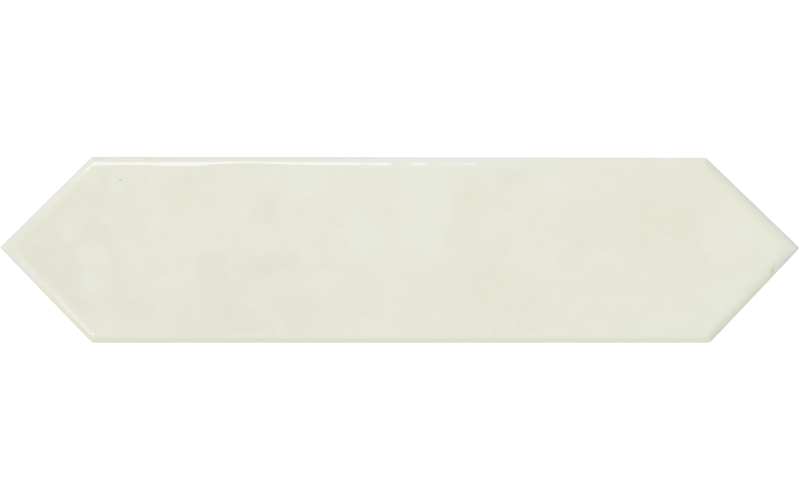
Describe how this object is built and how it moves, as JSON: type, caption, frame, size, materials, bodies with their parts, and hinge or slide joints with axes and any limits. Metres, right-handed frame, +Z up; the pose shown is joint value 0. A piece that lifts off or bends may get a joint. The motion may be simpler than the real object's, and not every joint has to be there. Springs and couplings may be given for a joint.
{
  "type": "picket tile",
  "caption": "Long six-sided glazed ceramic wall tile with pointed ends, a rolled glossy edge and a keyed back for bedding in adhesive.",
  "frame": {"origin": "middle of the back, on the crests of the key ribs", "axes": "+Z up out of the glazed face, +X along the length to one point, +Y across the width"},
  "size_m": [0.3, 0.07, 0.0085],
  "materials": {
    "glazed_body": "gloss"
  },
  "bodies": {
    "root": {"picket_tile": "glazed_body"}
  },
  "joints": []
}
